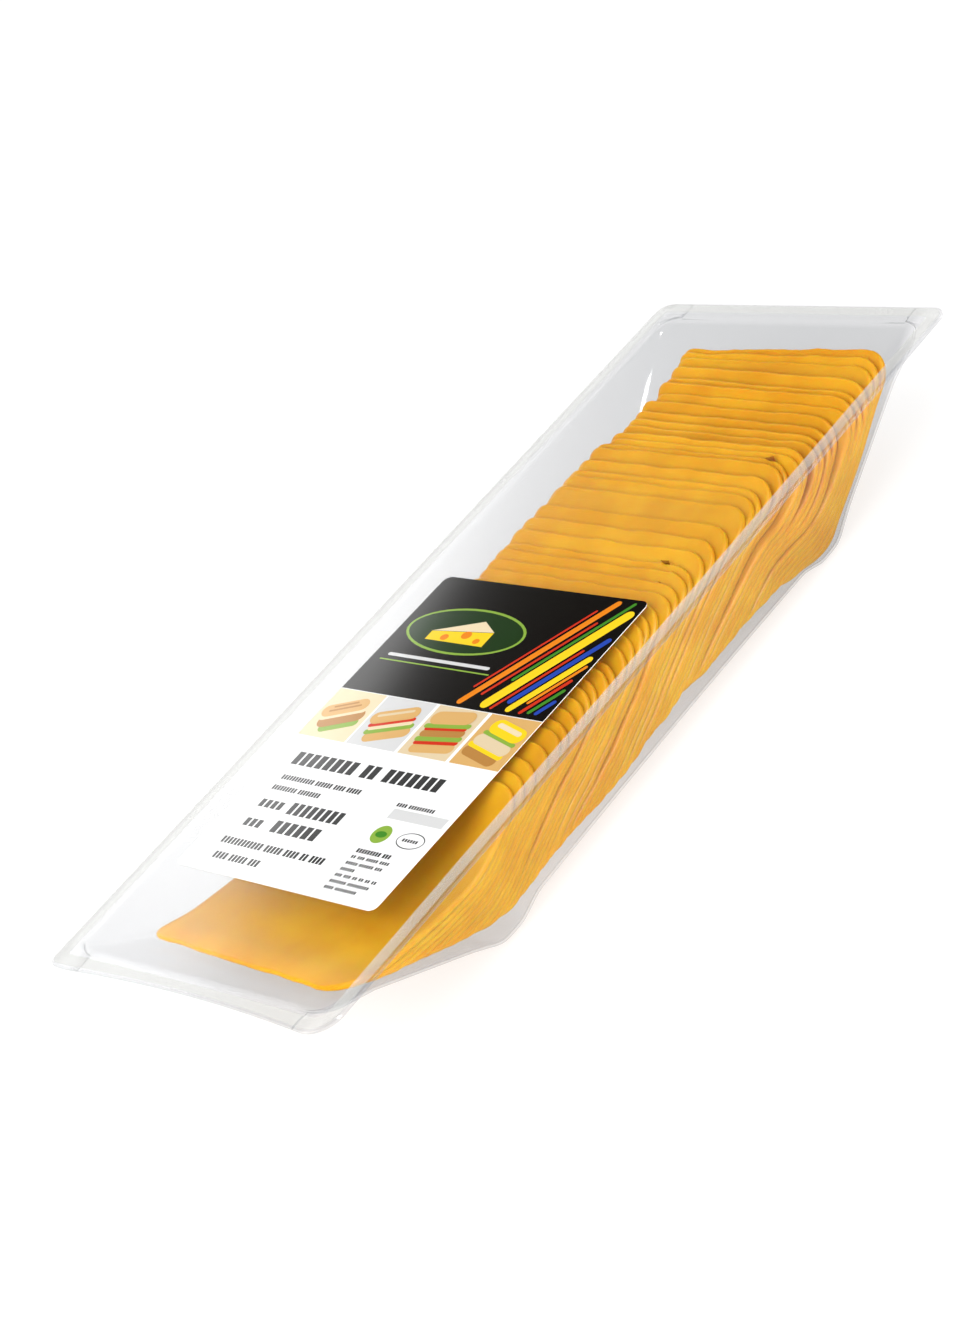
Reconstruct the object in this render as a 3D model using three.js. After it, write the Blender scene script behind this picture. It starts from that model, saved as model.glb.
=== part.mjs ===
// Pack of sliced cheese: a clear formed tray, a clear lid film sealed on the tray's flange, a paper
// label on the film, and slices laid in the tray like roof tiles, each on the one beyond it.
// Millimetres. X runs along the pack to its far end, Y across it and Z up. The origin is under the
// middle of the pack, on the surface that the tray's feet stand on.
import * as THREE from 'three';

// Driving dimensions of the tray
const PACK_LENGTH = 360;
const PACK_WIDTH = 134;
const FLANGE_TOP = 43.6;
const SHEET = 0.8;
const END_FLANGE = 8.2;
const SIDE_FLANGE = 6.6;
const WALL_FOOT = 80;
const FOOT_END = 90;
const RAMP_END = 100;
const FLOOR_RISE = 3.6;
const FLOOR_BOW = 0.9;
const SIDE_DRAFT = 0.164;
const MOUTH_RADIUS = 8;
const CORNER_BEND = 9;
const FLOOR_BEND = 5;
const MOST_BEND = 0.7;
const FLAT_STEP = 1;
const FLANGE_CORNERS = { nearRight: 10, nearLeft: 4, farRight: 6, farLeft: 6 };
const NEAR_EDGE_BOW = 2.4;

// Driving dimensions of the lid film and the label
const FILM = 0.3;
const GAP = 0.3;
const LABEL = { length: 148, width: 97.5, thickness: 0.2, radius: 3, x: -56.8, y: 0.8, turn: -1.2 };

// Driving dimensions of the slices and of their pile
const SLICES = 43;
const SLICE_SIDE = 95;
const SLICE_THICKNESS = 1.63;
const SLICE_CORNERS = { left: 4, right: 11 };
const FIRST_FAR_EDGE = 338;
const PITCH = 5.06;
const PITCH_UNEVEN = 2.2;
const EDGE_SHARE = 1.15;
const EDGE_SLOPE = 0.5;
const TOP_CLEARANCE = 1.6;
const BEND_RADIUS = 30;
const SKEW_REACH = 3.2;
const NEAR_EDGE_DROP = 3;
const SIDE_CLEARANCE = 0.6;
const SIDE_UNEVEN = 0.9;
const SKEW = 0.048;
const SKEW_FAR = -0.04;
const SKEW_TURNS_OVER = [144, 160];
const LOOSE_EDGE = 54.6;
const SWAY = { slices: 6.5, far: 5, middle: 1.6, near: 6 };
const SWAY_CHANGES = { middle: [11, 14], near: [32, 40] };
const PILE_SEED = 11;

// Fineness of the solids
const BEND_DEGREES = [30, 60, 90];
const STRAIGHT_STEPS = 8;
const CORNER_PLACES = [1.5, 5.5];
const STEP = 5;
const FIRST_LINE = 3;
const SAG_ROUNDS = 1500;
const CREEP_BACK = 0.2;

const HALF_LENGTH = PACK_LENGTH / 2;
const HALF_WIDTH = PACK_WIDTH / 2;
const MOUTH_HALF = HALF_WIDTH - SIDE_FLANGE;
const LINES = PACK_LENGTH / STEP + 1;

// One steady stream of numbers from 0 to 1, the same on each run
function randomStream(seed) {
  let state = seed;
  return () => {
    state = (state * 1664525 + 1013904223) % 4294967296;
    return state / 4294967296;
  };
}

function smooth(low, high, value) {
  return THREE.MathUtils.smoothstep(value, low, high);
}

// How far a rounded corner of this radius stands back, at a distance from the edge
function cornerInset(radius, distance) {
  if (distance >= radius) return 0;
  return radius - Math.sqrt(radius ** 2 - (radius - distance) ** 2);
}

// Height of the tray's inner surface along its middle, at a distance from the nearer end
function trayFloor(distance) {
  if (distance <= END_FLANGE) return FLANGE_TOP;
  if (distance < WALL_FOOT) {
    const share = (distance - END_FLANGE) / (WALL_FOOT - END_FLANGE);
    return THREE.MathUtils.lerp(FLANGE_TOP, SHEET, share);
  }
  if (distance < FOOT_END) return SHEET;
  if (distance < RAMP_END) return SHEET + FLOOR_RISE * (distance - FOOT_END) / (RAMP_END - FOOT_END);
  const along = (HALF_LENGTH - distance) / (HALF_LENGTH - RAMP_END);
  return SHEET + FLOOR_RISE + FLOOR_BOW * (1 - along ** 2);
}

// Radius of the bend between the side walls and the floor, wider where the floor climbs as an end wall
function bendRadius(distance) {
  return distance < WALL_FOOT ? CORNER_BEND : FLOOR_BEND;
}

// Half of one cross-section of the tray: pairs of half-width and height, from the rim to the middle
function halfSection(distance, corner) {
  const outer = HALF_WIDTH - cornerInset(corner, distance);
  const mouth = MOUTH_HALF - cornerInset(MOUTH_RADIUS, Math.max(distance - END_FLANGE, 0));
  const floor = trayFloor(distance);
  const depth = FLANGE_TOP - floor;
  const bend = Math.min(bendRadius(distance), MOST_BEND * depth);
  const low = mouth - SIDE_DRAFT * (depth - bend);
  const points = [[outer, FLANGE_TOP], [mouth, FLANGE_TOP], [low - (depth > 0 ? 0 : FLAT_STEP), floor + bend]];
  BEND_DEGREES.forEach((degrees, k) => {
    const angle = THREE.MathUtils.degToRad(degrees);
    const spread = depth > 0 ? bend * (1 - Math.cos(angle)) : FLAT_STEP * (k + 2);
    points.push([low - spread, floor + bend * (1 - Math.sin(angle))]);
  });
  const [edge] = points[points.length - 1];
  points.push([edge / 2, floor], [0, floor]);
  return points;
}

// Distances from an end at which the tray has a cross-section
function stations() {
  const corner = [0, 1, 3, 6, END_FLANGE, 9.2, 11, 13.5, END_FLANGE + MOUTH_RADIUS];
  const wall = [26, 38, 50, 62, 73, WALL_FOOT, WALL_FOOT + 3, FOOT_END - 3, FOOT_END];
  const floor = [FOOT_END + 3, RAMP_END - 3, RAMP_END, 120, 145, HALF_LENGTH];
  return [...corner, ...wall, ...floor];
}

// The near edge of the flange is drawn in a little at its middle
function nearEdgeBow(x, y) {
  const share = 1 - smooth(0, END_FLANGE, x + HALF_LENGTH);
  const straight = HALF_WIDTH - FLANGE_CORNERS.nearRight;
  return NEAR_EDGE_BOW * share * Math.max(0, 1 - (y / straight) ** 2);
}

function trayPoint(x, y, z) {
  return new THREE.Vector3(x + nearEdgeBow(x, y), y, z);
}

// Upper surface of the tray: one row of points for each cross-section
function trayRows() {
  const near = stations().map((distance) => [-HALF_LENGTH + distance, distance, 'near']);
  const far = stations().slice(0, -1).reverse().map((distance) => [HALF_LENGTH - distance, distance, 'far']);
  return [...near, ...far].map(([x, distance, end]) => {
    const right = halfSection(distance, FLANGE_CORNERS[`${end}Right`]);
    const left = halfSection(distance, FLANGE_CORNERS[`${end}Left`]).reverse().slice(1);
    const rightPoints = right.map(([half, z]) => trayPoint(x, -half, z));
    return [...rightPoints, ...left.map(([half, z]) => trayPoint(x, half, z))];
  });
}

function rowNormal(rows, i, j) {
  const next = rows[Math.min(i + 1, rows.length - 1)][j];
  const before = rows[Math.max(i - 1, 0)][j];
  const beside = rows[i][Math.min(j + 1, rows[i].length - 1)];
  const other = rows[i][Math.max(j - 1, 0)];
  const along = next.clone().sub(before);
  return along.cross(beside.clone().sub(other)).normalize();
}

// A closed geometry from a list of points and a list of triangles
function solid(points, triangles) {
  const geometry = new THREE.BufferGeometry();
  const numbers = points.flatMap((p) => [p.x, p.y, p.z]);
  geometry.setAttribute('position', new THREE.Float32BufferAttribute(numbers, 3));
  geometry.setIndex(triangles.flat());
  geometry.computeVertexNormals();
  return geometry;
}

// A thin shell: the rows are its upper surface, and the same rows moved inwards its lower surface
function shell(rows, thickness) {
  const across = rows[0].length;
  const count = rows.length * across;
  const upper = rows.flat();
  const lower = rows.flatMap((row, i) => row.map((p, j) => {
    return p.clone().addScaledVector(rowNormal(rows, i, j), -thickness);
  }));
  const triangles = [];
  const quad = (a, b, c, d) => triangles.push([a, b, c], [a, c, d]);
  for (let i = 0; i + 1 < rows.length; i += 1) {
    for (let j = 0; j + 1 < across; j += 1) {
      const a = i * across + j;
      quad(a, a + across, a + across + 1, a + 1);
      quad(count + a, count + a + 1, count + a + across + 1, count + a + across);
    }
  }
  const rim = [];
  for (let j = 0; j + 1 < across; j += 1) rim.push(j);
  for (let i = 0; i + 1 < rows.length; i += 1) rim.push(i * across + across - 1);
  for (let j = across - 1; j > 0; j -= 1) rim.push((rows.length - 1) * across + j);
  for (let i = rows.length - 1; i > 0; i -= 1) rim.push(i * across);
  rim.forEach((a, k) => {
    const b = rim[(k + 1) % rim.length];
    quad(a, b, count + b, count + a);
  });
  return solid([...upper, ...lower], triangles);
}

// Outline of the flange, anticlockwise from above, starting at the near right corner
function flangeOutline() {
  const widest = Math.max(...Object.values(FLANGE_CORNERS));
  const side = (end, hand) => stations().filter((distance) => distance <= widest || distance === HALF_LENGTH)
    .map((distance) => {
      const half = HALF_WIDTH - cornerInset(FLANGE_CORNERS[end + hand], distance);
      const x = end === 'near' ? -HALF_LENGTH + distance : HALF_LENGTH - distance;
      return [x, hand === 'Right' ? -half : half];
    });
  const loop = [...side('near', 'Right'), ...side('far', 'Right').reverse().slice(1),
    ...side('far', 'Left'), ...side('near', 'Left').reverse().slice(1)];
  for (let step = 1; step < STRAIGHT_STEPS; step += 1) {
    const half = HALF_WIDTH - cornerInset(FLANGE_CORNERS.nearLeft, 0);
    const other = -HALF_WIDTH + cornerInset(FLANGE_CORNERS.nearRight, 0);
    loop.push([-HALF_LENGTH, THREE.MathUtils.lerp(half, other, step / STRAIGHT_STEPS)]);
  }
  return loop.map(([x, y]) => new THREE.Vector2(x + nearEdgeBow(x, y), y));
}

function filmGeometry() {
  const shape = new THREE.Shape(flangeOutline());
  return new THREE.ExtrudeGeometry(shape, { depth: FILM, bevelEnabled: false });
}

function labelGeometry() {
  const { length, width, radius, thickness } = LABEL;
  const shape = new THREE.Shape();
  const x = length / 2;
  const y = width / 2;
  shape.moveTo(-x + radius, -y);
  shape.lineTo(x - radius, -y);
  shape.absarc(x - radius, -y + radius, radius, -Math.PI / 2, 0, false);
  shape.absarc(x - radius, y - radius, radius, 0, Math.PI / 2, false);
  shape.absarc(-x + radius, y - radius, radius, Math.PI / 2, Math.PI, false);
  shape.absarc(-x + radius, -y + radius, radius, Math.PI, Math.PI * 1.5, false);
  return new THREE.ExtrudeGeometry(shape, { depth: thickness, bevelEnabled: false, curveSegments: 4 });
}

// The pile is worked out on upright lines, STEP apart from the near end of the flange
function slope(heights, i) {
  const before = Math.max(i - 1, 0);
  const after = Math.min(i + 1, heights.length - 1);
  return (heights[after] - heights[before]) / ((after - before) * STEP);
}

function heightAt(heights, place) {
  const i = Math.min(Math.floor(place / STEP), heights.length - 2);
  return THREE.MathUtils.lerp(heights[i], heights[i + 1], place / STEP - i);
}

// Slope of the line between the two upright lines' own slopes, so that faces stay straight between them
function slopeAt(heights, place) {
  const i = Math.min(Math.floor(place / STEP), heights.length - 2);
  const share = place / STEP - i;
  const low = Math.hypot(1, slope(heights, i));
  const high = Math.hypot(1, slope(heights, i + 1));
  return Math.sqrt(THREE.MathUtils.lerp(low, high, share) ** 2 - 1);
}

// What the first slices lie on: the highest floor within reach of the skew, kept below the lid
function ground(place) {
  const floors = [place - SKEW_REACH, place, place + SKEW_REACH].map((at) => {
    return trayFloor(HALF_LENGTH - Math.abs(at - HALF_LENGTH));
  });
  return Math.min(Math.max(...floors) + GAP, FLANGE_TOP - NEAR_EDGE_DROP);
}

// Under-side of a slice whose far edge is held up near the lid, and which sags on to the pile
function sag(pile, farEdge) {
  const under = [...pile];
  const last = Math.ceil(farEdge / STEP);
  const edgeHeight = FLANGE_TOP - TOP_CLEARANCE - EDGE_SHARE * SLICE_THICKNESS;
  under[last] = Math.max(pile[last], edgeHeight + EDGE_SLOPE * (last * STEP - farEdge));
  const drop = STEP ** 2 / (2 * BEND_RADIUS);
  for (let round = 0; round < SAG_ROUNDS; round += 1) {
    for (let i = FIRST_LINE; i < last; i += 1) {
      under[i] = Math.max(pile[i], (under[i - 1] + under[i + 1]) / 2 - drop);
    }
  }
  return under;
}

// Walks back from the far edge over the sagging line until a whole slice is laid
function sliceLine(under, farEdge) {
  const line = [{ place: farEdge, reach: 0 }];
  let i = Math.ceil(farEdge / STEP) - 1;
  while (line[0].reach < SLICE_SIDE) {
    const { place, reach } = line[0];
    const next = i * STEP;
    const length = Math.hypot(place - next, heightAt(under, place) - under[i]);
    const share = Math.min(1, (SLICE_SIDE - reach) / length);
    line.unshift({ place: place + share * (next - place), reach: reach + share * length });
    i -= 1;
  }
  return line;
}

// Adds places near both ends, where the rounded corners need them
function withCornerPlaces(line) {
  const extra = CORNER_PLACES.flatMap((reach) => [reach, SLICE_SIDE - reach]);
  for (const reach of extra) {
    const k = line.findIndex((point) => point.reach < reach);
    const [a, b] = [line[k - 1], line[k]];
    const share = (reach - b.reach) / (a.reach - b.reach);
    line.splice(k, 0, { place: THREE.MathUtils.lerp(b.place, a.place, share), reach });
  }
  return line;
}

// The slices lie a little askew, and the last one the other way
function skewed(x, y, z) {
  const turn = THREE.MathUtils.lerp(SKEW, SKEW_FAR, smooth(...SKEW_TURNS_OVER, x));
  return new THREE.Vector3(x + turn * y, y, z);
}

// Inner half-width of the tray at a height over its floor, where the right-hand side of a slice comes
function innerHalf(place, height) {
  const { x } = skewed(place - HALF_LENGTH, -MOUTH_HALF, height);
  const distance = HALF_LENGTH - Math.abs(x);
  const bend = cornerInset(bendRadius(distance), Math.max(height - trayFloor(distance), 0));
  return MOUTH_HALF - SIDE_DRAFT * (FLANGE_TOP - height) - bend;
}

// Place of a slice's right-hand edge. The slices stand straight, lie against the wall only where it
// is narrow enough, and drift a little to and fro.
function rightEdge(index, random) {
  const reach = THREE.MathUtils.lerp(SWAY.far, SWAY.middle, smooth(...SWAY_CHANGES.middle, index));
  const saw = reach * ((index / SWAY.slices) % 1);
  const sway = THREE.MathUtils.lerp(saw, SWAY.near, smooth(...SWAY_CHANGES.near, index));
  const limit = LOOSE_EDGE + sway - SIDE_UNEVEN * random();
  return (place, height) => Math.max(SIDE_CLEARANCE - innerHalf(place, height), -limit);
}

function sliceGeometry(line, under, edge) {
  const points = [];
  const triangles = [];
  const quad = (a, b, c, d) => triangles.push([a, b, c], [a, c, d]);
  line.forEach(({ place, reach }, row) => {
    const low = heightAt(under, place);
    const incline = slopeAt(under, place);
    const high = low + SLICE_THICKNESS * Math.hypot(1, incline);
    const fromEnd = Math.min(reach, SLICE_SIDE - reach);
    const right = edge(place, low);
    const x = place - HALF_LENGTH;
    const rightSide = right + cornerInset(SLICE_CORNERS.right, fromEnd);
    const leftSide = right + SLICE_SIDE - cornerInset(SLICE_CORNERS.left, fromEnd);
    points.push(skewed(x, rightSide, low), skewed(x, leftSide, low));
    points.push(skewed(x, leftSide, high), skewed(x, rightSide, high));
    if (row === 0) return;
    const a = 4 * (row - 1);
    for (let k = 0; k < 4; k += 1) {
      const l = (k + 1) % 4;
      quad(a + k, a + l, a + 4 + l, a + 4 + k);
    }
  });
  const end = points.length - 4;
  quad(0, 3, 2, 1);
  quad(end, end + 1, end + 2, end + 3);
  return solid(points, triangles);
}

// The next far edge: one pitch on, or further where a slice would stand up into the lid
function nextFarEdge(pile, farEdge, random) {
  let place = farEdge - PITCH - PITCH_UNEVEN * (2 * random() - 1);
  const top = (at) => heightAt(pile, at) + SLICE_THICKNESS * Math.hypot(1, slopeAt(pile, at));
  while (top(place) > FLANGE_TOP - TOP_CLEARANCE) place -= CREEP_BACK;
  return place;
}

// Lays every slice, from the far end to the near end, each on the pile so far
function layPile() {
  const random = randomStream(PILE_SEED);
  let pile = Array.from({ length: LINES }, (_, i) => ground(i * STEP));
  let farEdge = FIRST_FAR_EDGE;
  const slices = [];
  for (let index = 0; index < SLICES; index += 1) {
    const under = sag(pile, farEdge);
    const line = withCornerPlaces(sliceLine(under, farEdge));
    slices.push(sliceGeometry(line, under, rightEdge(index, random)));
    const first = Math.floor(line[0].place / STEP);
    const last = Math.ceil(farEdge / STEP);
    pile = pile.map((height, i) => {
      if (i < first || i > last) return height;
      return Math.max(height, under[i] + SLICE_THICKNESS * Math.hypot(1, slope(under, i)) + GAP);
    });
    farEdge = nextFarEdge(pile, farEdge, random);
  }
  return slices;
}

const clearPlastic = new THREE.MeshStandardMaterial({
  color: 0xe6e8ea, roughness: 0.12, metalness: 0, transparent: true, opacity: 0.35,
});
const clearFilm = new THREE.MeshStandardMaterial({
  color: 0xf2f3f4, roughness: 0.08, metalness: 0, transparent: true, opacity: 0.2,
});
const printedPaper = new THREE.MeshStandardMaterial({ color: 0xf4f4f2, roughness: 0.45, metalness: 0 });
const cheddar = new THREE.MeshStandardMaterial({ color: 0xe2a22e, roughness: 0.5, metalness: 0 });

function named(name, geometry, material) {
  const mesh = new THREE.Mesh(geometry, material);
  mesh.name = name;
  return mesh;
}

const pack = new THREE.Group();
pack.add(named('tray', shell(trayRows(), SHEET), clearPlastic));

const film = named('lid_film', filmGeometry(), clearFilm);
film.position.z = FLANGE_TOP + GAP;
pack.add(film);

const label = named('label', labelGeometry(), printedPaper);
label.position.set(LABEL.x, LABEL.y, FLANGE_TOP + GAP + FILM + GAP);
label.rotation.z = THREE.MathUtils.degToRad(LABEL.turn);
pack.add(label);

const cheese = new THREE.Group();
layPile().forEach((geometry, index) => {
  const number = String(SLICES - index).padStart(2, '0');
  cheese.add(named(`slice_${number}`, geometry, cheddar));
});
pack.add(cheese);

export default pack;
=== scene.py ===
import math

import bmesh
import bpy
from mathutils import Matrix, Vector, noise


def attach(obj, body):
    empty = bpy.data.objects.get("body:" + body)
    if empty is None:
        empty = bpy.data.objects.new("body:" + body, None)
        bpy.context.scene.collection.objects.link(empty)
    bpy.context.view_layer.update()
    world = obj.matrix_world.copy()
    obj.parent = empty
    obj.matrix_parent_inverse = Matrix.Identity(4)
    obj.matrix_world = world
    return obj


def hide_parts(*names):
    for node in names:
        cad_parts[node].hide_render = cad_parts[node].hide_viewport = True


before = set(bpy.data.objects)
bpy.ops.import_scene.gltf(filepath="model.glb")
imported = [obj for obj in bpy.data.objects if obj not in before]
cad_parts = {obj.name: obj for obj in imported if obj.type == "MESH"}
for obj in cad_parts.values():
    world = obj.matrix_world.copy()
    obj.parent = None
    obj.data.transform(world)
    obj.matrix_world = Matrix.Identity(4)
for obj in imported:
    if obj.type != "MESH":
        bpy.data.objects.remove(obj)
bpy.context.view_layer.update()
MM = 0.001

# The camera looks down on the pack from its near right side and is rolled, so that the pack stands
# on a slant. Its place and turn were worked out from the flange's four corners in the photograph.
CAMERA_PLACE = (-522.0, -724.1, 563.4)
CAMERA_RIGHT = (0.58222, -0.70002, -0.41351)
CAMERA_UP = (0.65006, 0.09533, 0.75388)
CAMERA_LENS = 82.3

camera = bpy.data.objects.new("camera", bpy.data.cameras.new("camera"))
bpy.context.scene.collection.objects.link(camera)
right = Vector(CAMERA_RIGHT).normalized()
up = Vector(CAMERA_UP).normalized()
turn = Matrix((right, up, right.cross(up))).transposed().to_4x4()
camera.matrix_world = Matrix.Translation(Vector(CAMERA_PLACE) * MM) @ turn
camera.data.lens = CAMERA_LENS
bpy.context.scene.camera = camera
bpy.context.scene.view_settings.view_transform = "Standard"

# A white room's even light, with one soft lamp high beyond the pack's near end and a second one that
# fills its right side. A third stands beyond its left side, where the lid's left part mirrors it, and
# a small one over the right side shows as a bright line in the tray's far left corner.
SKY_STRENGTH = 0.76
LAMPS = (
    # name, place, what it aims at, side lengths, turn about its own axis in degrees, power in W
    ("lamp_top", (-1300, -250, 1150), (0, 0, 0), (1300, 1300), 0, 24),
    ("lamp_side", (-100, -1500, 330), (0, 0, 0), (1800, 800), 0, 16),
    ("lamp_window", (519, 1185, 519), (519, 0, 519), (1400, 700), 13.4, 20),
    ("lamp_glint", (50, -510, 840), (130, 57, 20), (240, 240), 0, 85),
)
MIRRORED_ONLY = ("lamp_window", "lamp_glint")

world = bpy.data.worlds.new("room")
bpy.context.scene.world = world
world.use_nodes = True
world.node_tree.nodes["Background"].inputs["Color"].default_value = (1, 1, 1, 1)
world.node_tree.nodes["Background"].inputs["Strength"].default_value = SKY_STRENGTH
world.cycles_visibility.glossy = False
for name, place, target, sides, spin, power in LAMPS:
    data = bpy.data.lights.new(name, "AREA")
    data.shape = "RECTANGLE"
    data.size, data.size_y = sides[0] * MM, sides[1] * MM
    data.energy = power
    lamp = bpy.data.objects.new(name, data)
    aim = (Vector(target) - Vector(place)).to_track_quat("-Z", "Y").to_matrix().to_4x4()
    own_turn = Matrix.Rotation(math.radians(spin), 4, "Z")
    lamp.matrix_world = Matrix.Translation(Vector(place) * MM) @ aim @ own_turn
    lamp.visible_diffuse = name not in MIRRORED_ONLY
    lamp.visible_glossy = name != "lamp_side"
    bpy.context.scene.collection.objects.link(lamp)

# The floor is a plain white light table, so that hardly any shadow shows round the pack.
FLOOR_HALF = 4000
FLOOR_COLOUR = (0.35, 0.35, 0.35)
FLOOR_ROUGHNESS = 0.9
FLOOR_GLOW = 0.72
FLOOR_DROP = 0.2


def new_object(name, box, *materials):
    """Turns a finished bmesh into an object with its materials."""
    mesh = bpy.data.meshes.new(name)
    box.to_mesh(mesh)
    box.free()
    obj = bpy.data.objects.new(name, mesh)
    bpy.context.scene.collection.objects.link(obj)
    for material in materials:
        mesh.materials.append(material)
    return obj


def plain(name, colour, roughness, **sockets):
    """A material of one colour. Other sockets of its shader go by name, with _ for a space."""
    material = bpy.data.materials.new(name)
    material.use_nodes = True
    shader = material.node_tree.nodes["Principled BSDF"]
    shader.inputs["Base Color"].default_value = (*colour, 1)
    shader.inputs["Roughness"].default_value = roughness
    for socket, value in sockets.items():
        shader.inputs[socket.replace("_", " ")].default_value = value
    return material


box = bmesh.new()
bmesh.ops.create_grid(box, x_segments=1, y_segments=1, size=FLOOR_HALF * MM)
light_table = plain("light_table", FLOOR_COLOUR, FLOOR_ROUGHNESS, Specular_IOR_Level=0.0)
light_table_shader = light_table.node_tree.nodes["Principled BSDF"]
light_table_shader.inputs["Emission Color"].default_value = (1, 1, 1, 1)
light_table_shader.inputs["Emission Strength"].default_value = FLOOR_GLOW
floor = new_object("floor", box, light_table)
floor.location.z = -FLOOR_DROP * MM

# The tray is one sheet of clear plastic, formed over a mould: a flat flange all round, steep sides,
# long sloping ends, a foot across each end of the floor and a slightly raised floor between them.
PACK_LENGTH = 360.0
PACK_WIDTH = 134.0
FLANGE_TOP = 43.6
SHEET = 0.8
END_FLANGE = 8.2
SIDE_FLANGE = 6.6
WALL_FOOT = 80.0
FOOT_END = 90.0
RAMP_END = 100.0
FLOOR_RISE = 3.6
FLOOR_BOW = 0.9
SIDE_DRAFT = 0.164
MOUTH_RADIUS = 8.0
MOUTH_LIP = 1.0
MOST_LIP = 0.25
CORNER_BEND = 9.0
FLOOR_BEND = 5.0
BEND_CHANGES = (-12, 6)
MOST_BEND = 0.7
LEAST_BEND = 0.3
FLANGE_CORNERS = {(-1, -1): 10.0, (-1, 1): 4.0, (1, -1): 6.0, (1, 1): 6.0}
NEAR_EDGE_BOW = 2.4
HALF_LENGTH = PACK_LENGTH / 2
HALF_WIDTH = PACK_WIDTH / 2
MOUTH_HALF = HALF_WIDTH - SIDE_FLANGE


def ease(low, high, value):
    share = min(1.0, max(0.0, (value - low) / (high - low)))
    return share * share * (3 - 2 * share)


def mix(a, b, share):
    return a + (b - a) * share


def corner_inset(radius, distance):
    """How far a rounded corner stands back at a distance from the edge."""
    if distance >= radius:
        return 0.0
    return radius - math.sqrt(radius**2 - (radius - max(distance, 0.0)) ** 2)


def sharp_floor(distance):
    """Height of the tray's inner surface along its middle, at a distance from the nearer end."""
    if distance <= END_FLANGE:
        return FLANGE_TOP
    if distance < WALL_FOOT:
        return mix(FLANGE_TOP, SHEET, (distance - END_FLANGE) / (WALL_FOOT - END_FLANGE))
    if distance < FOOT_END:
        return SHEET
    if distance < RAMP_END:
        return SHEET + FLOOR_RISE * (distance - FOOT_END) / (RAMP_END - FOOT_END)
    along = (HALF_LENGTH - distance) / (HALF_LENGTH - RAMP_END)
    return SHEET + FLOOR_RISE + FLOOR_BOW * (1 - along**2)


def tray_floor(distance):
    """The same with its bends rounded over 2 mm either way."""
    return sum(sharp_floor(distance + step / 2) for step in range(-4, 5)) / 9


def near_edge_bow(x, y):
    """The near edge of the flange is drawn in a little at its middle."""
    share = 1 - ease(0, END_FLANGE, x + HALF_LENGTH)
    straight = HALF_WIDTH - FLANGE_CORNERS[-1, -1]
    return NEAR_EDGE_BOW * share * max(0.0, 1 - (y / straight) ** 2)


def tray_half_section(distance, corner):
    """Half-widths and heights of one cross-section, from the rim to the middle."""
    outer = HALF_WIDTH - corner_inset(corner, distance)
    mouth = MOUTH_HALF - corner_inset(MOUTH_RADIUS, max(distance - END_FLANGE, 0))
    floor_height = tray_floor(distance)
    depth = max(FLANGE_TOP - floor_height, 0.0)
    change = ease(WALL_FOOT + BEND_CHANGES[0], WALL_FOOT + BEND_CHANGES[1], distance)
    widest = mix(CORNER_BEND, FLOOR_BEND, change)
    bend = min(widest, MOST_BEND * depth)
    lip = min(MOUTH_LIP, MOST_LIP * depth)
    low = mouth - SIDE_DRAFT * (depth - bend)
    points = [(outer, FLANGE_TOP), (mix(outer, mouth, 0.5), FLANGE_TOP)]
    for step in range(4):
        angle = math.pi / 2 * step / 3
        down = lip * (1 - math.cos(angle))
        points.append((mouth + lip * (1 - math.sin(angle)) - SIDE_DRAFT * down, FLANGE_TOP - down))
    wall_top = points[-1]
    for share in (0.25, 0.5, 0.75):
        points.append((mix(wall_top[0], low, share), mix(wall_top[1], floor_height + bend, share)))
    for step in range(9):
        angle = math.pi / 2 * step / 8
        spread = max(bend, LEAST_BEND) * (1 - math.cos(angle))
        points.append((low - spread, floor_height + bend * (1 - math.sin(angle))))
    edge = points[-1][0]
    points += [(edge * share, floor_height) for share in (0.8, 0.6, 0.4, 0.2, 0.0)]
    return points


def tray_stations():
    """Distances from an end at which the tray has a row of points, closer where it bends."""
    flange = [0, 0.3, 1, 2, 3.2, 4.6, 6.2, 7.4, END_FLANGE]
    mouth = [8.25, 8.4, 8.65, 9, 9.5, 10.2, 11.2, 12.6, 14.2, 16.2, 19]
    wall = [22 + 4 * k for k in range(14)]
    foot = [76.5, 78, 79, WALL_FOOT, 81, 82.5, 85, 88, 89.2, 90.4, 92, 95, 98, 99.2, 100.4, 102]
    middle = [106 + 6 * k for k in range(12)]
    return flange + mouth + wall + foot + middle + [HALF_LENGTH]


def grid_of(rows):
    """A bmesh grid with a vertex on each point of the rows."""
    box = bmesh.new()
    bmesh.ops.create_grid(box, x_segments=len(rows[0]) - 1, y_segments=len(rows) - 1, size=1)
    box.verts.ensure_lookup_table()
    for vert, point in zip(box.verts, (point for row in rows for point in row)):
        vert.co = Vector(point) * MM
    bmesh.ops.recalc_face_normals(box, faces=box.faces)
    if sum(face.normal.z for face in box.faces) < 0:
        bmesh.ops.reverse_faces(box, faces=box.faces)
    box.normal_update()
    return box


def thicken(box, thickness):
    """Makes an upper surface a closed sheet, with its other side lower by the thickness."""
    inward = box.verts.layers.float_vector.new("inward")
    for vert in box.verts:
        vert[inward] = -vert.normal
    extruded = bmesh.ops.extrude_face_region(box, geom=list(box.faces))["geom"]
    for vert in (item for item in extruded if isinstance(item, bmesh.types.BMVert)):
        vert.co += vert[inward] * thickness * MM
    box.verts.layers.float_vector.remove(inward)
    bmesh.ops.recalc_face_normals(box, faces=box.faces)


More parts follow.
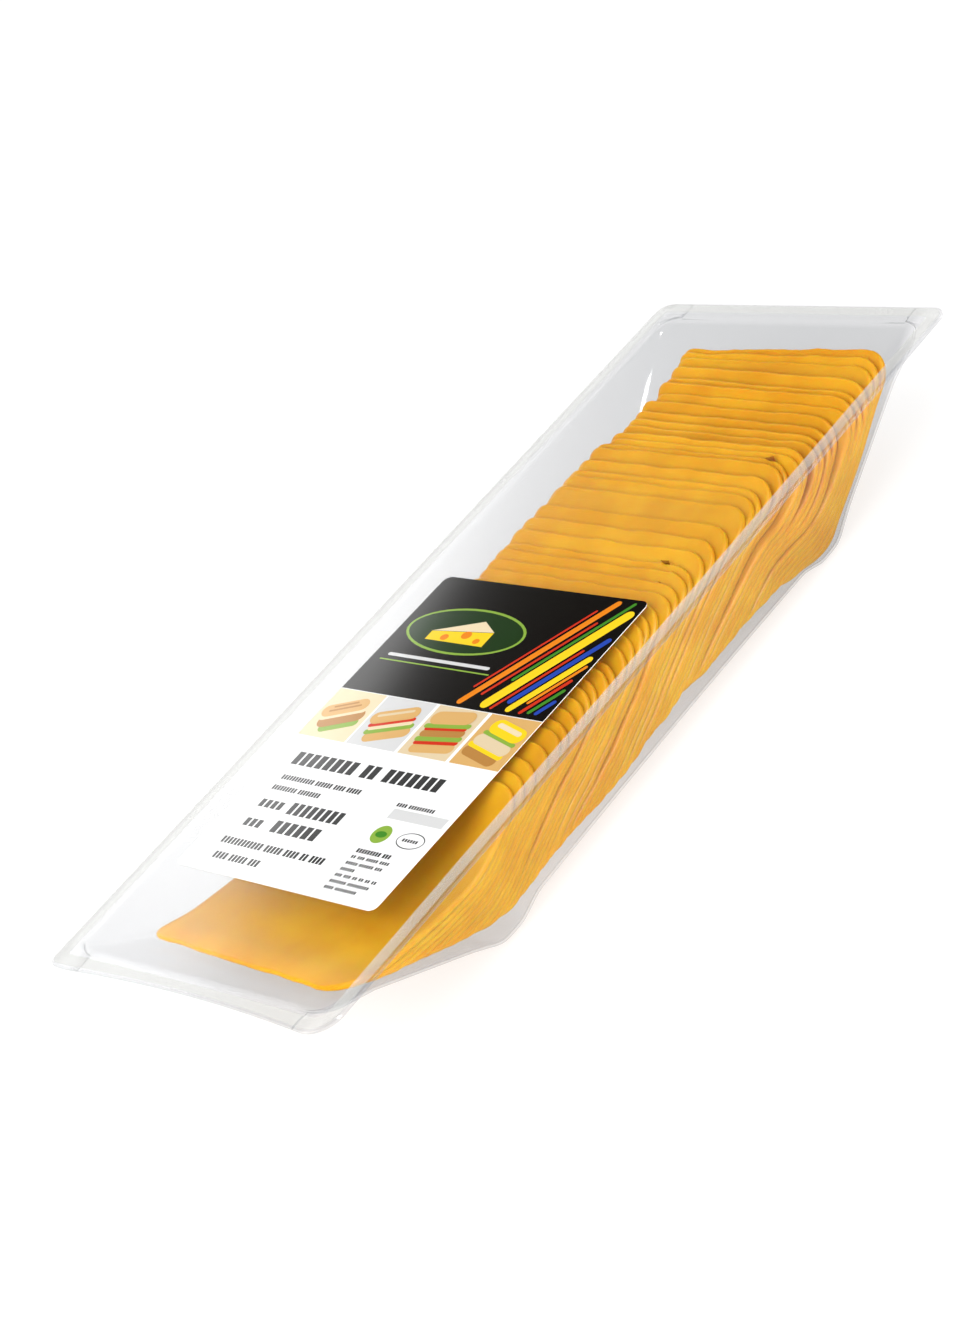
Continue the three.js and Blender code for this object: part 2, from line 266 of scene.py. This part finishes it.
# Painted shade: the clear plastic's tint is darker at both ends of the pack, and painted lighter on the
# flange and on the right wall. Seen
#  along the sheet, it shows more of its own colour and mirrors more.
PAINTED_SHADE_TURNS = 0.3
TINT_LEANS = (0.02, 0.05)
PAINTED_CLEAR_TINT = (0.955, 0.955, 0.958)
FLANGE_PAINTED_CLEARING = 0.4
RIGHT_PAINTED_CLEARING_FROM = -53.0
RIGHT_PAINTED_CLEARING_TO = -58.0
STEEP_POWER = 3
LEAST_SHINE = 0.003


def rising(tree, value, low, high, most=1.0):
    """A share that goes from 0 to most while a place on an axis goes from low to high."""
    share = tree.nodes.new("ShaderNodeMapRange")
    share.inputs["From Min"].default_value = low * MM
    share.inputs["From Max"].default_value = high * MM
    share.inputs["To Max"].default_value = most
    tree.links.new(value, share.inputs["Value"])
    return share.outputs["Result"]


def tint_with_painted_shade(tree, tints_and_painted_shade):
    """What one side of the sheet lets through, from tints at the near end, before the middle and at the
    far end, where darker ends are painted shade, and with a painted clearer tint on the flange and the
    right wall."""
    coordinates = tree.nodes.new("ShaderNodeTexCoord")
    axes = tree.nodes.new("ShaderNodeSeparateXYZ")
    tree.links.new(coordinates.outputs["Object"], axes.inputs["Vector"])
    tint = tree.nodes.new("ShaderNodeValToRGB")
    tint.color_ramp.elements.new(PAINTED_SHADE_TURNS)
    for element, value in zip(tint.color_ramp.elements, tints_and_painted_shade):
        element.color = (value, mix(value, 1, TINT_LEANS[0]), mix(value, 1, TINT_LEANS[1]), 1)
    tree.links.new(rising(tree, axes.outputs["X"], -HALF_LENGTH, HALF_LENGTH), tint.inputs["Fac"])
    right_wall = rising(tree, axes.outputs["Y"], RIGHT_PAINTED_CLEARING_FROM, RIGHT_PAINTED_CLEARING_TO)
    below, on_flange = FLANGE_TOP - 2 * SHEET, FLANGE_TOP - 1.2 * SHEET
    flange = rising(tree, axes.outputs["Z"], below, on_flange, FLANGE_PAINTED_CLEARING)
    either = tree.nodes.new("ShaderNodeMath")
    either.operation = "MAXIMUM"
    tree.links.new(right_wall, either.inputs[0])
    tree.links.new(flange, either.inputs[1])
    # Painted light: a clearer tint mixed in on the flange and on the right wall.
    painted_clearer = tree.nodes.new("ShaderNodeMixRGB")
    painted_clearer.inputs["Color2"].default_value = (*PAINTED_CLEAR_TINT, 1)
    tree.links.new(either.outputs["Value"], painted_clearer.inputs["Fac"])
    tree.links.new(tint.outputs["Color"], painted_clearer.inputs["Color1"])
    return painted_clearer.outputs["Color"]


def layered(tree, steepness, shares, under, over):
    """Lays one shader over another, by one share from above and another along the sheet."""
    share = tree.nodes.new("ShaderNodeMapRange")
    share.inputs["To Min"].default_value = shares[0]
    share.inputs["To Max"].default_value = shares[1]
    tree.links.new(steepness, share.inputs["Value"])
    cover = tree.nodes.new("ShaderNodeMixShader")
    tree.links.new(share.outputs["Result"], cover.inputs["Fac"])
    tree.links.new(under, cover.inputs[1])
    tree.links.new(over, cover.inputs[2])
    return cover.outputs["Shader"]


def clear_sheet(name, colour, tints_and_painted_shade, solid, roughness, shine):
    """Clear plastic that shows two shares of its own colour and mirrors by a share."""
    material = plain(name, colour, roughness, Specular_IOR_Level=0.0)
    tree = material.node_tree
    through = tree.nodes.new("ShaderNodeBsdfTransparent")
    tree.links.new(tint_with_painted_shade(tree, tints_and_painted_shade), through.inputs["Color"])
    facing = tree.nodes.new("ShaderNodeLayerWeight")
    facing.inputs["Blend"].default_value = 0.5
    steep = tree.nodes.new("ShaderNodeMath")
    steep.operation = "POWER"
    steep.inputs[1].default_value = STEEP_POWER
    tree.links.new(facing.outputs["Facing"], steep.inputs[0])
    gloss = tree.nodes.new("ShaderNodeBsdfGlossy")
    gloss.inputs["Roughness"].default_value = roughness
    own_colour = tree.nodes["Principled BSDF"].outputs["BSDF"]
    milky = layered(tree, steep.outputs["Value"], solid, through.outputs["BSDF"], own_colour)
    mirroring = (LEAST_SHINE, shine)
    surface = layered(tree, steep.outputs["Value"], mirroring, milky, gloss.outputs["BSDF"])
    tree.links.new(surface, tree.nodes["Material Output"].inputs["Surface"])
    return material


rows = []
stations = tray_stations()
near_half = [(d - HALF_LENGTH, d, -1) for d in stations]
far_half = [(HALF_LENGTH - d, d, 1) for d in stations[-2::-1]]
for x, distance, end in near_half + far_half:
    right_side = tray_half_section(distance, FLANGE_CORNERS[end, -1])
    left_side = tray_half_section(distance, FLANGE_CORNERS[end, 1])[-2::-1]
    row = [(x, -half, z) for half, z in right_side] + [(x, half, z) for half, z in left_side]
    rows.append([(x + near_edge_bow(x, y), y, z) for x, y, z in row])
box = grid_of(rows)
thicken(box, SHEET)
TRAY_COLOUR = (0.66, 0.67, 0.69)
# Painted shade: the tray's tint is darker at its near and far ends than before the middle.
TRAY_TINTS_WITH_PAINTED_SHADE = (0.835, 0.945, 0.815)
TRAY_SOLID = (0.0, 0.26)
tray_plastic = clear_sheet("tray_plastic", TRAY_COLOUR, TRAY_TINTS_WITH_PAINTED_SHADE, TRAY_SOLID, roughness=0.12, shine=0.06)
tray = new_object("tray_shell", box, tray_plastic)
tray.data.shade_smooth()
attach(tray, "root")
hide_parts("tray")

# The cheese slices are soft squares with rounded corners, cut a little unevenly. Each sags over the
# ones beyond it, along the line that its solid in the frame has, and its free edge waves a little.
SLICE_SIDE = 95.0
SLICE_CORNERS = {-1: 11.0, 1: 4.0}
SLICE_THICKNESS = 1.93
EDGE_ROUND = 0.32
EDGE_WAVE = 0.6
EDGE_WAVE_LENGTH = 14.0
EDGE_CRUMB = 0.2
EDGE_CRUMB_LENGTH = 2.6
EDGE_DEPTH = 30.0
EDGE_CURL = 0.25
CURL_WIDTH = 5.0
CURL_LENGTH = 11.0
SIDE_WAVE = 0.22
SIDE_STEP = 0.22
SIDE_GROUP = 5
PILE_WAVE = 0.5
PILE_WAVE_LENGTHS = (26.0, 34.0)
SMOOTHING = (-0.03, -0.015, 0, 0.015, 0.03)
END_STEPS = (0, 0.5, 1.2, 2.1, 3.2, 4.8, 6.8, 9, 11.4, 14)
MIDDLE_ROWS = 26
COLUMNS = 60


def wave(seed, lengthwise, crosswise):
    """A smooth random number between about -1 and 1, of its own for each slice."""
    return noise.noise(Vector((lengthwise, crosswise, 17.3 * seed)))


def cad_line(node):
    """The slice's rows: middle place, turn and middle height, from its near to its far edge."""
    sides = {-1: {}, 1: {}}
    middle_line = sum(v.co.y for v in node.data.vertices) / len(node.data.vertices)
    for v in node.data.vertices:
        x, y, z = v.co / MM
        side = 1 if v.co.y > middle_line else -1
        sides[side].setdefault((round(x, 2), round(y, 2)), []).append(z)
    line = []
    for ((x1, y1), heights), ((x2, y2), _) in zip(sorted(sides[-1].items()), sorted(sides[1].items())):
        lean = (x2 - x1) / (y2 - y1)
        line.append([(x1 + x2) / 2, y1, y2, lean, (min(heights) + max(heights)) / 2])
    reach = [0.0]
    for a, b in zip(line, line[1:]):
        reach.append(reach[-1] + math.hypot(b[0] - a[0], b[4] - a[4]))
    rows = []
    for (x, y1, y2, lean, z), r in zip(line, reach):
        from_end = SLICE_SIDE * min(r / reach[-1], 1 - r / reach[-1])
        low = y1 - corner_inset(SLICE_CORNERS[-1], from_end)
        high = y2 + corner_inset(SLICE_CORNERS[1], from_end)
        middle = (low + high) / 2
        rows.append((x + lean * (middle - (y1 + y2) / 2), middle, lean, z))
    return rows, [r / reach[-1] for r in reach]


def along(line, reach, share):
    """One point of the line: middle x and y, lean and height."""
    k = max(i for i in range(len(reach) - 1) if reach[i] <= share or i == 0)
    step = (share - reach[k]) / (reach[k + 1] - reach[k])
    return [mix(p, q, step) for p, q in zip(line[k], line[k + 1])]


def smoothed(line, reach, share):
    """The same, rounded off between the solid's rows."""
    if share < SMOOTHING[-1] or share > 1 - SMOOTHING[-1]:
        return along(line, reach, share)
    parts = [along(line, reach, min(1.0, max(0.0, share + shift))) for shift in SMOOTHING]
    return [sum(values) / len(parts) for values in zip(*parts)]


def outward(share, across, seed):
    """How far the cut edge strays at this place: lengthwise and crosswise. What is added to the seed
    only keeps the waves apart."""
    from_end = SLICE_SIDE * min(share, 1 - share)
    end = 1 if share > 0.5 else -1
    side = 1 if across > 0 else -1
    v = across * SLICE_SIDE / 2
    stray = EDGE_WAVE * wave(seed, v / EDGE_WAVE_LENGTH, 3 * end)
    stray += EDGE_CRUMB * wave(seed + 50, v / EDGE_CRUMB_LENGTH, 5 * end)
    lengthwise = end * stray * (1 - ease(0, EDGE_DEPTH, from_end))
    drift = SIDE_WAVE * noise.noise(Vector((5 * share, 3 * side, seed / 3)))
    stands_back = SIDE_STEP if seed % SIDE_GROUP == 0 else 0
    return lengthwise, side * (drift - stands_back) * abs(across) ** 6


def slice_point(line, reach, share, across, seed):
    """A point of a slice's upper side."""
    from_end = SLICE_SIDE * min(share, 1 - share)
    x, y, lean, z = smoothed(line, reach, share)
    ahead = smoothed(line, reach, min(1.0, share + 0.01))
    behind = smoothed(line, reach, max(0.0, share - 0.01))
    dx, dz = ahead[0] - behind[0], ahead[3] - behind[3]
    size = math.hypot(dx, dz)
    dx, dz = dx / size, dz / size
    lengthwise, crosswise = outward(share, across, seed)
    half = SLICE_SIDE / 2 - EDGE_ROUND
    v = (half - corner_inset(SLICE_CORNERS[1 if across > 0 else -1], from_end)) * across + crosswise
    lengthwise += EDGE_ROUND * (1 - 2 * share)
    over = SLICE_THICKNESS / 2
    if share > 0.5 and from_end < CURL_WIDTH:
        lift = max(0.0, 0.5 + wave(seed + 7, v / CURL_LENGTH, 9))
        over += EDGE_CURL * (1 - from_end / CURL_WIDTH) ** 2 * lift
    px = x + lengthwise * dx - over * dz + lean * v
    pz = z + lengthwise * dz + over * dx
    clear_below = pz - tray_floor(HALF_LENGTH - min(abs(px), HALF_LENGTH))
    heave = noise.noise(Vector((px / PILE_WAVE_LENGTHS[0], (y + v) / PILE_WAVE_LENGTHS[1], 3.1)))
    pz += PILE_WAVE * heave * ease(2, 16, clear_below) * ease(0.2, 3.0, FLANGE_TOP - pz)
    return px, y + v, pz


def round_cut_edge(box, count):
    """Cuts the rim's faces twice and pushes the new vertices out, so that the rim is rounded. The
    faces of the upper side come first in the bmesh, and there are count of them."""
    box.faces.ensure_lookup_table()
    upper_side = {vert for face in box.faces[:count] for vert in face.verts}
    rim_lines = [line for line in box.edges if len(upper_side.intersection(line.verts)) == 1]
    cut = bmesh.ops.subdivide_edges(box, edges=rim_lines, cuts=2, use_grid_fill=True)
    box.normal_update()
    for vert in {item for item in cut["geom_inner"] if isinstance(item, bmesh.types.BMVert)}:
        vert.co += vert.normal * EDGE_ROUND * MM


def slice_mesh(node, seed):
    """One slice, laid along the line that its solid in the frame has."""
    line, reach = cad_line(node)
    inner = SLICE_SIDE - 2 * END_STEPS[-1]
    shares = [s / SLICE_SIDE for s in END_STEPS]
    shares += [(END_STEPS[-1] + inner * k / MIDDLE_ROWS) / SLICE_SIDE for k in range(1, MIDDLE_ROWS)]
    shares += [1 - s / SLICE_SIDE for s in reversed(END_STEPS)]
    acrosses = [-1 + 2 * k / COLUMNS for k in range(COLUMNS + 1)]
    box = grid_of([[slice_point(line, reach, s, a, seed) for a in acrosses] for s in shares])
    count = len(box.faces)
    thicken(box, SLICE_THICKNESS)
    round_cut_edge(box, count)
    return box


# Light passes a little way into the cheese, and its tone drifts from blotch to blotch and from slice to
# slice.
MIDDLE_ORANGE = (0.78, 0.37, 0.012)
DEEP_ORANGE = (0.70, 0.32, 0.006)
PALE_ORANGE = (0.80, 0.405, 0.011)
LIGHT_DEPTHS = (1.0, 0.24, 0.03)
LIGHT_DEPTH = 4.0
BLOTCHES = 45
OWN_TONE = 0.35
GRAIN = 900


def speckle(tree, scale, detail):
    """Noise that is fixed to the piece."""
    coordinates = tree.nodes.new("ShaderNodeTexCoord")
    texture = tree.nodes.new("ShaderNodeTexNoise")
    texture.inputs["Scale"].default_value = scale
    texture.inputs["Detail"].default_value = detail
    tree.links.new(coordinates.outputs["Object"], texture.inputs["Vector"])
    return texture.outputs["Fac"]


def cheese_colour(tree):
    """Two oranges, mixed by blotches and by the tone that each slice has of its own."""
    own_tone = tree.nodes.new("ShaderNodeAttribute")
    own_tone.attribute_name = "tone"
    drift = tree.nodes.new("ShaderNodeMath")
    drift.operation = "MULTIPLY_ADD"
    drift.inputs[1].default_value = OWN_TONE
    tree.links.new(own_tone.outputs["Fac"], drift.inputs[0])
    tree.links.new(speckle(tree, BLOTCHES, 4), drift.inputs[2])
    tone = tree.nodes.new("ShaderNodeValToRGB")
    deep, pale = tone.color_ramp.elements
    deep.position, deep.color = 0.35, (*DEEP_ORANGE, 1)
    pale.position, pale.color = 0.65, (*PALE_ORANGE, 1)
    tree.links.new(drift.outputs["Value"], tone.inputs["Fac"])
    return tone.outputs["Color"]


def cheddar_material():
    """Orange cheese with a fine grain, hardly glossy."""
    material = plain("cheddar", MIDDLE_ORANGE, 0.45, Specular_IOR_Level=0.07, Subsurface_Weight=0.6)
    tree = material.node_tree
    shader = tree.nodes["Principled BSDF"]
    shader.inputs["Subsurface Radius"].default_value = LIGHT_DEPTHS
    shader.inputs["Subsurface Scale"].default_value = LIGHT_DEPTH * MM
    tree.links.new(cheese_colour(tree), shader.inputs["Base Color"])
    bump = tree.nodes.new("ShaderNodeBump")
    bump.inputs["Strength"].default_value = 0.12
    bump.inputs["Distance"].default_value = 0.3 * MM
    tree.links.new(speckle(tree, GRAIN, 2), bump.inputs["Height"])
    tree.links.new(bump.outputs["Normal"], shader.inputs["Normal"])
    return material


cheddar = cheddar_material()
for seed, name in enumerate(sorted(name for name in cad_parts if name.startswith("slice_"))):
    piece = new_object(f"cheese_{name}", slice_mesh(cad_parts[name], seed), cheddar)
    piece.data.shade_smooth()
    tone = piece.data.attributes.new("tone", "FLOAT", "POINT")
    tone.data.foreach_set("value", [wave(3, seed / 2.3, 1)] * len(piece.data.vertices))
    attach(piece, "root")
    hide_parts(name)

# The lid is a clear film welded to the flange. The weld is a milky stripe that runs all round, a
# little inside the film's edge.
FILM_BOTTOM = 43.9
FILM_TOP = 44.2
WELD_OUTER = 0.9
WELD_INNER = 5.5
TIGHTEST_CORNER = 1.5
CORNER_TURNS = 8
EDGE_STEPS = 16
FILM_COLOUR = (0.70, 0.71, 0.72)
WELD_COLOUR = (0.70, 0.70, 0.655)
FILM_TINTS = (0.98, 0.98, 0.98)


def film_ring(inset):
    """A line round the film at an inset from its edge, anticlockwise from above."""
    points = []
    for end, hand, start in ((-1, -1, 180), (1, -1, 270), (1, 1, 0), (-1, 1, 90)):
        radius = max(FLANGE_CORNERS[end, hand] - inset, TIGHTEST_CORNER)
        for step in range(CORNER_TURNS + 1):
            angle = math.radians(start + 90 * step / CORNER_TURNS)
            x = end * (HALF_LENGTH - inset - radius) + radius * math.cos(angle)
            points.append((x, hand * (HALF_WIDTH - inset - radius) + radius * math.sin(angle)))
    last, first = points[-1], points[0]
    for step in range(1, EDGE_STEPS):
        share = step / EDGE_STEPS
        points.append((mix(last[0], first[0], share), mix(last[1], first[1], share)))
    return [(x + near_edge_bow(x, y), y, FILM_TOP) for x, y in points]


box = bmesh.new()
rings = []
for inset in (0, WELD_OUTER, WELD_INNER):
    rings.append([box.verts.new(Vector(point) * MM) for point in film_ring(inset)])
for zone, (outer, inner) in enumerate(zip(rings, rings[1:])):
    for k in range(len(outer)):
        face = box.faces.new((outer[k - 1], outer[k], inner[k], inner[k - 1]))
        face.material_index = zone
box.faces.new(rings[-1])
box.normal_update()
thicken(box, FILM_TOP - FILM_BOTTOM)
clear_film = clear_sheet("clear_film", FILM_COLOUR, FILM_TINTS, (0.0, 0.01), roughness=0.11, shine=0.13)
milky_weld = clear_sheet("milky_weld", WELD_COLOUR, FILM_TINTS, (0.2, 0.3), roughness=0.3, shine=0.06)
lid = new_object("lid", box, clear_film, milky_weld)
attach(lid, "root")
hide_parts("lid_film")

# The label is a sheet of gloss paper with rounded corners, stuck on the film. Its print is flat
# fields of ink, one over the other: a black head, four small food pictures and a white foot.
LABEL_LENGTH = 148.0
LABEL_WIDTH = 97.5
LABEL_RADIUS = 3.0
LABEL_PLACE = (-56.8, 0.8)
LABEL_TURN = math.radians(-1.2)
LABEL_TOP = 44.45
INK = 0.02
INK_ROUGHNESS = 0.095
INK_GLOSS = 0.12
HEAD_FOOT = 88.2
PICTURES_FOOT = 64.2
PICTURES_MIDDLE = 76.2
PICTURES_GAP = 0.3
INKS = {
    "paper": (0.86, 0.86, 0.86),
    "black": (0.006, 0.005, 0.004),
    "deep_green": (0.012, 0.035, 0.008),
    "text": (0.04, 0.04, 0.04),
    "pale": (0.60, 0.60, 0.60),
    "yellow": (0.84, 0.57, 0.015),
    "orange": (0.74, 0.21, 0.01),
    "red": (0.55, 0.03, 0.01),
    "green": (0.05, 0.22, 0.02),
    "blue": (0.02, 0.06, 0.38),
    "leaf": (0.23, 0.38, 0.05),
    "bread": (0.62, 0.37, 0.13),
    "crust": (0.42, 0.20, 0.05),
    "cream": (0.74, 0.61, 0.40),
    "sand": (0.66, 0.53, 0.34),
}


def on_label(across, up_label, z):
    """From a place on the label, measured from its near left corner, to the pack's frame."""
    x = up_label - LABEL_LENGTH / 2
    y = LABEL_WIDTH / 2 - across
    cos, sin = math.cos(LABEL_TURN), math.sin(LABEL_TURN)
    return Vector((LABEL_PLACE[0] + x * cos - y * sin, LABEL_PLACE[1] + x * sin + y * cos, z)) * MM


def field(box, points, ink, layer):
    """The upper face of one flat field of ink. A higher layer covers the lower ones."""
    face = box.faces.new([box.verts.new(on_label(a, b, LABEL_TOP + layer * INK)) for a, b in points])
    face.normal_update()
    if face.normal.z < 0:
        face.normal_flip()
    face.material_index = list(INKS).index(ink)
    return face


def block(a0, b0, a1, b1):
    return [(a0, b0), (a1, b0), (a1, b1), (a0, b1)]


def rounded(a0, b0, a1, b1, radius):
    points = []
    for ca, cb, start in ((a1, b0, -90), (a1, b1, 0), (a0, b1, 90), (a0, b0, 180)):
        ca += radius if ca == a0 else -radius
        cb += radius if cb == b0 else -radius
        for step in range(7):
            angle = math.radians(start + 15 * step)
            points.append((ca + radius * math.cos(angle), cb + radius * math.sin(angle)))
    return points


def oval(a, b, wide, tall, steps=40):
    angles = [math.tau * k / steps for k in range(steps)]
    return [(a + wide * math.cos(angle), b + tall * math.sin(angle)) for angle in angles]


def pill(a, b, length, width, degrees):
    """A bar with round ends, turned about its middle."""
    cos, sin = math.cos(math.radians(degrees)), math.sin(math.radians(degrees))
    points = []
    for end, start in ((1, -90), (-1, 90)):
        for step in range(9):
            angle = math.radians(start + 22.5 * step)
            u = end * (length - width) / 2 + width / 2 * math.cos(angle)
            v = width / 2 * math.sin(angle)
            points.append((a + u * cos - v * sin, b + u * sin + v * cos))
    return points


def word_blocks(box, a, b, height, counts, width, gap, layer=1):
    """A line of plain blocks, one for each sign, with wider gaps between the words."""
    for count in counts:
        for _ in range(count):
            field(box, block(a, b, a + width, b + height), "text", layer)
            a += width + gap
        a += width


def badge(box):
    """A plain oval with a wedge of cheese in it, and two lines under it."""
    a, b = 31.5, 122.5
    field(box, oval(a, b, 28, 11.6), "leaf", 2)
    field(box, oval(a, b, 26.8, 10.6), "deep_green", 3)
    field(box, [(a - 15, b - 1.5), (a + 13, b + 1.4), (a + 5, b + 6)], "cream", 4)
    field(box, [(a - 15, b - 6), (a + 13, b - 6), (a + 13, b + 1.2), (a - 15, b - 1.7)], "yellow", 4)
    for hole_a, hole_b, size in ((-7, -3.9, 1.5), (2, -1.6, 1.9), (8.5, -3.8, 1.3)):
        field(box, oval(a + hole_a, b + hole_b, 1.2 * size, size, 20), "orange", 5)
    field(box, pill(a, 107.2, 50, 1.5, 0), "pale", 2)
    field(box, pill(a, 104.4, 54, 0.6, 0), "leaf", 2)


# Slanting coloured bars on the head: offset across the bars, width, ink, and both ends as shares
BARS = (
    (3.0, 1.0, "red", 0.15, 0.9),
    (6.2, 2.8, "orange", 0.0, 1.0),
    (9.6, 1.2, "red", 0.1, 0.8),
    (12.2, 1.5, "green", 0.25, 1.0),
    (16.0, 4.4, "yellow", 0.0, 1.0),
    (20.0, 1.2, "red", 0.0, 0.7),
    (22.8, 2.4, "blue", 0.1, 1.0),
    (26.4, 3.0, "yellow", 0.0, 0.95),
    (29.4, 1.4, "orange", 0.2, 1.0),
    (31.8, 1.6, "red", 0.0, 0.9),
    (34.6, 1.6, "green", 0.05, 0.95),
    (37.4, 1.8, "blue", 0.1, 1.0),
)
BAR_DEGREES = 62
BARS_START = (50, 92)
BARS_MARGIN = 1.5


def slanting_bars(box):
    """The bars, each cut off at the head's edges and left out where hardly any of it would stay."""
    cos, sin = math.cos(math.radians(BAR_DEGREES)), math.sin(math.radians(BAR_DEGREES))
    for offset, width, ink, low, high in BARS:
        a, b = BARS_START[0] + sin * offset, BARS_START[1] - cos * offset
        room = BARS_MARGIN + width / 2
        first = (HEAD_FOOT + room - b) / sin
        last = min((LABEL_LENGTH - room - b) / sin, (LABEL_WIDTH - room - a) / cos)
        if last - first < 2 * width:
            continue
        start, end = mix(first, last, low), mix(first, last, high)
        middle = (start + end) / 2
        bar = pill(a + cos * middle, b + sin * middle, end - start + width, width, BAR_DEGREES)
        field(box, bar, ink, 2)


def food_picture(box, a0, a1, ground, degrees, layers):
    """A panel with the layers of a sandwich, each as offset from the middle, length, width and ink."""
    field(box, block(a0, PICTURES_FOOT, a1, HEAD_FOOT - PICTURES_GAP), ground, 1)
    tilt = math.radians(degrees)
    for number, (offset, length, width, ink) in enumerate(layers):
        a = (a0 + a1) / 2 - offset * math.sin(tilt)
        b = PICTURES_MIDDLE + offset * math.cos(tilt)
        field(box, pill(a, b, length, width, degrees), ink, 2 + number)


# The food pictures: both edges, ground, the sandwich's turn in degrees and its layers
FOOD_PICTURES = (
    (0, 23.6, "cream", 24, (
        (-5.5, 16, 4, "leaf"), (-2, 19, 6, "crust"), (0.6, 19, 3.2, "cream"), (3.4, 19, 6, "bread"),
        (3.2, 13, 0.9, "crust"), (5, 10, 0.9, "crust"))),
    (24.4, 48.4, "pale", 20, (
        (-5.6, 19, 5, "bread"), (-2.8, 20, 2.6, "leaf"), (-1.2, 18, 2, "cream"), (0.4, 19, 1.8, "red"),
        (3.8, 20, 6, "bread"), (4.8, 15, 1.2, "sand"))),
    (49.9, 73, "sand", 8, (
        (-7.6, 19, 4.6, "bread"), (-5, 19, 2, "red"), (-3.2, 20, 2.4, "leaf"), (-0.6, 19, 3.4, "crust"),
        (1.6, 18, 1.8, "red"), (3, 20, 2.2, "leaf"), (6.8, 19, 6.2, "bread"))),
    (74.6, LABEL_WIDTH, "bread", -14, (
        (-7, 18, 5, "crust"), (-4.4, 19, 2.6, "yellow"), (-1.6, 19, 5, "sand"), (1.6, 18, 1.8, "leaf"),
        (5.4, 18, 6.6, "yellow"), (6.2, 13, 2, "cream"))),
)

# Lines of blocks on the foot: place across and up the label, height, blocks in each word, width and gap
WORD_LINES = (
    (9, 50.8, 6, (8, 2, 7), 3.0, 0.9),
    (11, 43.6, 2.2, (12, 6, 4, 5), 1.0, 0.35),
    (11, 38.6, 2.2, (9, 8), 1.0, 0.35),
    (12, 30.4, 3.6, (4,), 2.2, 0.8),
    (27, 29.6, 5.4, (8,), 2.4, 0.9),
    (13, 21.4, 3.6, (3,), 2.2, 0.8),
    (27, 21, 5.4, (6,), 2.9, 0.9),
    (10.5, 12.6, 3, (12, 5, 4, 2, 4), 1.25, 0.45),
    (13, 5.8, 3, (4, 5, 3), 1.25, 0.45),
    (69.5, 42.2, 1.6, (4, 10), 0.85, 0.35),
    (70, 20.8, 1.8, (9, 3), 0.95, 0.3),
)
SMALL_PRINT = ((2, 3, 5, 4), (5, 6, 3), (6,), (3, 3, 2, 2, 2, 2), (7, 9), (4, 9))
SMALL_PRINT_TOP = 18.2
SMALL_PRINT_PITCH = 2.75


def small_marks(box):
    """A pale box, a dot in two greens and an oval ring with a short line of blocks in it."""
    field(box, rounded(70, 36.8, 95.4, 41.2, 0.3), "pale", 1)
    field(box, oval(73.9, 29.8, 4, 4, 28), "leaf", 1)
    field(box, oval(73.9, 29.8, 2.5, 1.4, 20), "green", 2)
    field(box, oval(87.8, 29.6, 6.1, 3.5, 32), "text", 1)
    field(box, oval(87.8, 29.6, 5.7, 3.1, 32), "paper", 2)
    word_blocks(box, 84.2, 28.9, 1.3, (6,), 0.85, 0.35, layer=3)


box = bmesh.new()
outline = rounded(0, 0, LABEL_WIDTH, LABEL_LENGTH, LABEL_RADIUS)
paper = field(box, outline, "paper", 0)
bmesh.ops.solidify(box, geom=[paper], thickness=(LABEL_TOP - FILM_TOP - 0.01) * MM)
paper_faces = set(box.faces)
head = [point for point in outline if point[1] > HEAD_FOOT]
field(box, [(0, HEAD_FOOT), (LABEL_WIDTH, HEAD_FOOT), *head], "black", 1)
badge(box)
slanting_bars(box)
for picture in FOOD_PICTURES:
    food_picture(box, *picture)
for line in WORD_LINES:
    word_blocks(box, *line)
for row, counts in enumerate(SMALL_PRINT):
    word_blocks(box, 70, SMALL_PRINT_TOP - SMALL_PRINT_PITCH * row, 1.3, counts, 0.8, 0.3)
small_marks(box)
prints = [face for face in box.faces if face not in paper_faces]
bmesh.ops.solidify(box, geom=prints, thickness=0.95 * INK * MM)
bmesh.ops.recalc_face_normals(box, faces=box.faces)
gloss_inks = []
for name, colour in INKS.items():
    gloss_inks.append(plain(f"ink_{name}", colour, INK_ROUGHNESS, Specular_IOR_Level=INK_GLOSS))
label = new_object("label_print", box, *gloss_inks)
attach(label, "root")
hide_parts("label")
